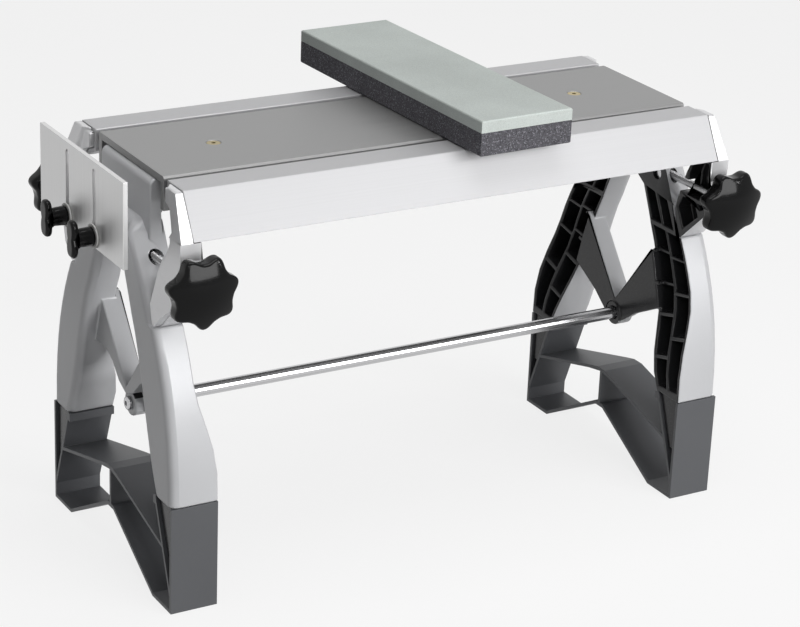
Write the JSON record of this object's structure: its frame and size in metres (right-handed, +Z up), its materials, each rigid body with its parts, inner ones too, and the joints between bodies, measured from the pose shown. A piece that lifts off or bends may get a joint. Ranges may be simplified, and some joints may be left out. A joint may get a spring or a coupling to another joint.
{
  "type": "skate sharpening table",
  "caption": "Sharpening table for speed skates: hinged jaw rails clamp the blades beside a flat top on ribbed end frames, with a whetstone lying across it.",
  "frame": {"origin": "on the floor, under the middle of the whole object's box", "axes": "+X along the table, away from the end stop; +Y to the far side, where the stone reaches past the table; +Z up"},
  "size_m": [0.501, 0.2756, 0.3236],
  "materials": {
    "satin_aluminium": "fine brushed, satin",
    "white_anodised": "bright anodised",
    "silver_paint": "moulded black, painted silver outside",
    "dark_grey_paint": "satin grey coat",
    "bright_steel": "bright",
    "yellow_zinc": "yellow zinc",
    "gloss_black": "polished",
    "natural_aluminium": "natural, matt",
    "pale_nylon": "natural nylon",
    "green_stone": "fine grit",
    "grey_stone": "coarse grit"
  },
  "bodies": {
    "table": {"top_plate": "satin_aluminium", "left_plate_screw": "yellow_zinc", "right_plate_screw": "yellow_zinc", "left_frame": "silver_paint", "right_frame": "silver_paint", "left_foot": "dark_grey_paint", "right_foot": "dark_grey_paint", "stretcher_rod": "bright_steel", "left_rod_screw": "bright_steel", "right_rod_screw": "bright_steel", "near_standoff": "bright_steel", "far_standoff": "bright_steel", "near_left_clamp_nut": "bright_steel", "near_right_clamp_nut": "bright_steel", "far_left_clamp_nut": "bright_steel", "far_right_clamp_nut": "bright_steel"},
    "near_jaw": {"near_rail": "white_anodised", "near_left_arm": "silver_paint", "near_right_arm": "silver_paint"},
    "near_left_spindle": {"near_left_spindle": "bright_steel"},
    "near_left_knob": {"near_left_knob": "gloss_black"},
    "near_right_spindle": {"near_right_spindle": "bright_steel"},
    "near_right_knob": {"near_right_knob": "gloss_black"},
    "far_jaw": {"far_rail": "white_anodised", "far_left_arm": "silver_paint", "far_right_arm": "silver_paint"},
    "far_left_spindle": {"far_left_spindle": "bright_steel"},
    "far_left_knob": {"far_left_knob": "gloss_black"},
    "far_right_spindle": {"far_right_spindle": "bright_steel"},
    "far_right_knob": {"far_right_knob": "gloss_black"},
    "stop": {"stop_plate": "natural_aluminium"},
    "near_thumb": {"near_thumb_knob": "gloss_black", "near_thumb_stud": "bright_steel", "near_thumb_washer": "pale_nylon"},
    "far_thumb": {"far_thumb_knob": "gloss_black", "far_thumb_stud": "bright_steel", "far_thumb_washer": "pale_nylon"},
    "stone": {"stone_fine_layer": "green_stone", "stone_coarse_layer": "grey_stone"}
  },
  "joints": [
    {"name": "near_jaw_swing", "type": "hinge", "parent": "table", "child": "near_jaw", "pos_m": [0.01395, -0.08097, 0.2025], "axis": [1, 0, 0], "range_deg": [-2.5, 4.01]},
    {"name": "near_left_spindle_feed", "type": "slide", "parent": "table", "child": "near_left_spindle", "axis": [0, -1, 0], "range_m": [-0.00162, 0.00259]},
    {"name": "near_left_knob_turn", "type": "hinge", "parent": "near_left_spindle", "child": "near_left_knob", "pos_m": [-0.1977, -0.11627, 0.2395], "axis": [0, -1, 0], "range_deg": [-581.2, 929.9]},
    {"name": "near_right_spindle_feed", "type": "slide", "parent": "table", "child": "near_right_spindle", "axis": [0, -1, 0], "range_m": [-0.00162, 0.00259]},
    {"name": "near_right_knob_turn", "type": "hinge", "parent": "near_right_spindle", "child": "near_right_knob", "pos_m": [0.22559, -0.11627, 0.2395], "axis": [0, -1, 0], "range_deg": [-581.2, 929.9]},
    {"name": "far_jaw_swing", "type": "hinge", "parent": "table", "child": "far_jaw", "pos_m": [0.01395, 0.05643, 0.2025], "axis": [-1, 0, 0], "range_deg": [-2.5, 4.01]},
    {"name": "far_left_spindle_feed", "type": "slide", "parent": "table", "child": "far_left_spindle", "axis": [0, 1, 0], "range_m": [-0.00162, 0.00259]},
    {"name": "far_left_knob_turn", "type": "hinge", "parent": "far_left_spindle", "child": "far_left_knob", "pos_m": [-0.1977, 0.09173, 0.2395], "axis": [0, 1, 0], "range_deg": [-581.2, 929.9]},
    {"name": "far_right_spindle_feed", "type": "slide", "parent": "table", "child": "far_right_spindle", "axis": [0, 1, 0], "range_m": [-0.00162, 0.00259]},
    {"name": "far_right_knob_turn", "type": "hinge", "parent": "far_right_spindle", "child": "far_right_knob", "pos_m": [0.22559, 0.09173, 0.2395], "axis": [0, 1, 0], "range_deg": [-581.2, 929.9]},
    {"name": "stop_height", "type": "slide", "parent": "table", "child": "stop", "axis": [0, 0, 1], "range_m": [-0.0444, 0]},
    {"name": "near_thumb_turn", "type": "hinge", "parent": "table", "child": "near_thumb", "pos_m": [-0.23266, -0.03477, 0.252], "axis": [-1, 0, 0], "range_deg": [0, 360]},
    {"name": "far_thumb_turn", "type": "hinge", "parent": "table", "child": "far_thumb", "pos_m": [-0.23266, 0.01023, 0.252], "axis": [-1, 0, 0], "range_deg": [0, 360]},
    {"name": "stone_slide", "type": "slide", "parent": "table", "child": "stone", "axis": [1, 0, 0], "range_m": [-0.206, 0.13]}
  ],
  "couplings": [
    {"joint": "near_jaw_swing", "follows": "near_left_knob_turn", "ratio": 0.0043015},
    {"joint": "near_left_spindle_feed", "follows": "near_left_knob_turn", "m_per_rad": 0.00015915},
    {"joint": "near_right_spindle_feed", "follows": "near_left_knob_turn", "m_per_rad": 0.00015915},
    {"joint": "near_right_knob_turn", "follows": "near_left_knob_turn", "ratio": 1},
    {"joint": "far_jaw_swing", "follows": "far_left_knob_turn", "ratio": 0.0043015},
    {"joint": "far_left_spindle_feed", "follows": "far_left_knob_turn", "m_per_rad": 0.00015915},
    {"joint": "far_right_spindle_feed", "follows": "far_left_knob_turn", "m_per_rad": 0.00015915},
    {"joint": "far_right_knob_turn", "follows": "far_left_knob_turn", "ratio": 1}
  ]
}
